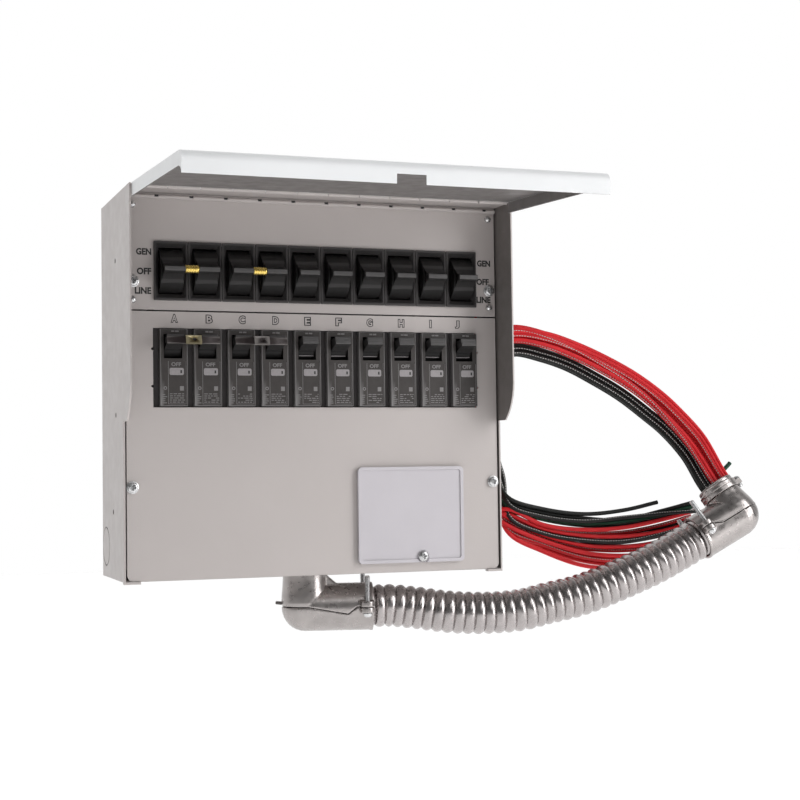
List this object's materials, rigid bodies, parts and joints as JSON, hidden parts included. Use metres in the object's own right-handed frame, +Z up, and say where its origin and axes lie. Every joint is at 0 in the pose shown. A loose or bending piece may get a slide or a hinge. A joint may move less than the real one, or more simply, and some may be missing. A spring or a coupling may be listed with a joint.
{
  "type": "manual transfer switch",
  "caption": "Wall-mounted manual transfer switch box with lift-up lid, paired toggles, breaker window, blank inlet plate and a flexible conduit whip with loose leads.",
  "frame": {"origin": "centre of the back panel's outer face, which lies on the wall", "axes": "+Z up, +Y into the wall, so the front with its controls faces -Y; +X is to the right as seen from the front"},
  "size_m": [0.5233, 0.2865, 0.335],
  "materials": {
    "grey_paint": "satin powder coat, light warm grey",
    "white_paint": "satin powder coat, off-white",
    "zinc_plated_steel": "bright zinc plate",
    "die_cast_zinc": "cast, dull grey with a fine grain",
    "conduit_aluminium": "interlocked strip, semi-bright",
    "black_plastic": "moulded, slightly glossy",
    "breaker_plastic": "moulded thermoset, dark grey",
    "plate_plastic": "moulded, cool pale grey",
    "brass": "plain turned brass",
    "red_pvc": "nylon-jacketed wire insulation",
    "black_pvc": "nylon-jacketed wire insulation",
    "green_pvc": "nylon-jacketed wire insulation"
  },
  "bodies": {
    "cabinet": {"cabinet_shell": "grey_paint", "switch_panel": "grey_paint", "breaker_cover": "grey_paint", "lid_hinge_rod": "zinc_plated_steel", "inlet_cover_plate": "plate_plastic", "plate_screw": "zinc_plated_steel", "cover_screw_left": "zinc_plated_steel", "cover_screw_right": "zinc_plated_steel", "panel_screw_left": "zinc_plated_steel", "panel_screw_right": "zinc_plated_steel", "switch_bank": "black_plastic", "breaker_a": "breaker_plastic", "breaker_b": "breaker_plastic", "breaker_c": "breaker_plastic", "breaker_d": "breaker_plastic", "breaker_e": "breaker_plastic", "breaker_f": "breaker_plastic", "breaker_g": "breaker_plastic", "breaker_h": "breaker_plastic", "breaker_i": "breaker_plastic", "breaker_j": "breaker_plastic", "breaker_rail": "zinc_plated_steel", "ground_bar": "brass", "lower_elbow_body": "die_cast_zinc", "lower_elbow_cap": "die_cast_zinc", "lower_locknut": "zinc_plated_steel", "upper_elbow_body": "die_cast_zinc", "upper_elbow_cap": "die_cast_zinc", "conduit": "conduit_aluminium", "red_leads": "red_pvc", "black_green_leads": "black_pvc", "green_lead_end": "green_pvc", "internal_leads": "red_pvc", "lower_clamp_screw": "zinc_plated_steel", "upper_clamp_screw": "zinc_plated_steel"},
    "lid": {"lid": "white_paint"},
    "toggle_ab_group": {"toggle_a": "black_plastic", "toggle_b": "black_plastic", "toggle_tie_pin_ab": "brass"},
    "toggle_cd_group": {"toggle_c": "black_plastic", "toggle_d": "black_plastic", "toggle_tie_pin_cd": "brass"},
    "toggle_e_lever": {"toggle_e": "black_plastic"},
    "toggle_f_lever": {"toggle_f": "black_plastic"},
    "toggle_g_lever": {"toggle_g": "black_plastic"},
    "toggle_h_lever": {"toggle_h": "black_plastic"},
    "toggle_i_lever": {"toggle_i": "black_plastic"},
    "toggle_j_lever": {"toggle_j": "black_plastic"},
    "handle_ab_group": {"breaker_handle_a": "black_plastic", "breaker_handle_b": "black_plastic", "handle_tie_ab": "brass"},
    "handle_cd_group": {"breaker_handle_c": "black_plastic", "breaker_handle_d": "black_plastic", "handle_tie_cd": "zinc_plated_steel"},
    "handle_e_lever": {"breaker_handle_e": "black_plastic"},
    "handle_f_lever": {"breaker_handle_f": "black_plastic"},
    "handle_g_lever": {"breaker_handle_g": "black_plastic"},
    "handle_h_lever": {"breaker_handle_h": "black_plastic"},
    "handle_i_lever": {"breaker_handle_i": "black_plastic"},
    "handle_j_lever": {"breaker_handle_j": "black_plastic"}
  },
  "joints": [
    {"name": "lid_hinge", "type": "hinge", "parent": "cabinet", "child": "lid", "pos_m": [0, -0.1184, 0.1404], "axis": [1, 0, 0], "range_deg": [0, 87.3]},
    {"name": "toggle_ab_tilt", "type": "hinge", "parent": "cabinet", "child": "toggle_ab_group", "pos_m": [-0.0995, -0.082, 0.0835], "axis": [1, 0, 0], "range_deg": [-20, 20]},
    {"name": "toggle_cd_tilt", "type": "hinge", "parent": "cabinet", "child": "toggle_cd_group", "pos_m": [-0.0487, -0.082, 0.0835], "axis": [1, 0, 0], "range_deg": [-20, 20]},
    {"name": "toggle_e_tilt", "type": "hinge", "parent": "cabinet", "child": "toggle_e_lever", "pos_m": [-0.0106, -0.082, 0.0835], "axis": [1, 0, 0], "range_deg": [-20, 20]},
    {"name": "toggle_f_tilt", "type": "hinge", "parent": "cabinet", "child": "toggle_f_lever", "pos_m": [0.0148, -0.082, 0.0835], "axis": [1, 0, 0], "range_deg": [-20, 20]},
    {"name": "toggle_g_tilt", "type": "hinge", "parent": "cabinet", "child": "toggle_g_lever", "pos_m": [0.0402, -0.082, 0.0835], "axis": [1, 0, 0], "range_deg": [-20, 20]},
    {"name": "toggle_h_tilt", "type": "hinge", "parent": "cabinet", "child": "toggle_h_lever", "pos_m": [0.0656, -0.082, 0.0835], "axis": [1, 0, 0], "range_deg": [-20, 20]},
    {"name": "toggle_i_tilt", "type": "hinge", "parent": "cabinet", "child": "toggle_i_lever", "pos_m": [0.091, -0.082, 0.0835], "axis": [1, 0, 0], "range_deg": [-20, 20]},
    {"name": "toggle_j_tilt", "type": "hinge", "parent": "cabinet", "child": "toggle_j_lever", "pos_m": [0.1164, -0.082, 0.0835], "axis": [1, 0, 0], "range_deg": [-20, 20]},
    {"name": "breaker_ab_throw", "type": "hinge", "parent": "cabinet", "child": "handle_ab_group", "pos_m": [-0.09755, -0.0835, 0.0282], "axis": [1, 0, 0], "range_deg": [0, 32]},
    {"name": "breaker_cd_throw", "type": "hinge", "parent": "cabinet", "child": "handle_cd_group", "pos_m": [-0.04675, -0.0835, 0.0282], "axis": [1, 0, 0], "range_deg": [0, 32]},
    {"name": "breaker_e_throw", "type": "hinge", "parent": "cabinet", "child": "handle_e_lever", "pos_m": [-0.00865, -0.0835, 0.0282], "axis": [1, 0, 0], "range_deg": [0, 32]},
    {"name": "breaker_f_throw", "type": "hinge", "parent": "cabinet", "child": "handle_f_lever", "pos_m": [0.01675, -0.0835, 0.0282], "axis": [1, 0, 0], "range_deg": [0, 32]},
    {"name": "breaker_g_throw", "type": "hinge", "parent": "cabinet", "child": "handle_g_lever", "pos_m": [0.04215, -0.0835, 0.0282], "axis": [1, 0, 0], "range_deg": [0, 32]},
    {"name": "breaker_h_throw", "type": "hinge", "parent": "cabinet", "child": "handle_h_lever", "pos_m": [0.06755, -0.0835, 0.0282], "axis": [1, 0, 0], "range_deg": [0, 32]},
    {"name": "breaker_i_throw", "type": "hinge", "parent": "cabinet", "child": "handle_i_lever", "pos_m": [0.09295, -0.0835, 0.0282], "axis": [1, 0, 0], "range_deg": [0, 32]},
    {"name": "breaker_j_throw", "type": "hinge", "parent": "cabinet", "child": "handle_j_lever", "pos_m": [0.11835, -0.0835, 0.0282], "axis": [1, 0, 0], "range_deg": [0, 32]}
  ]
}
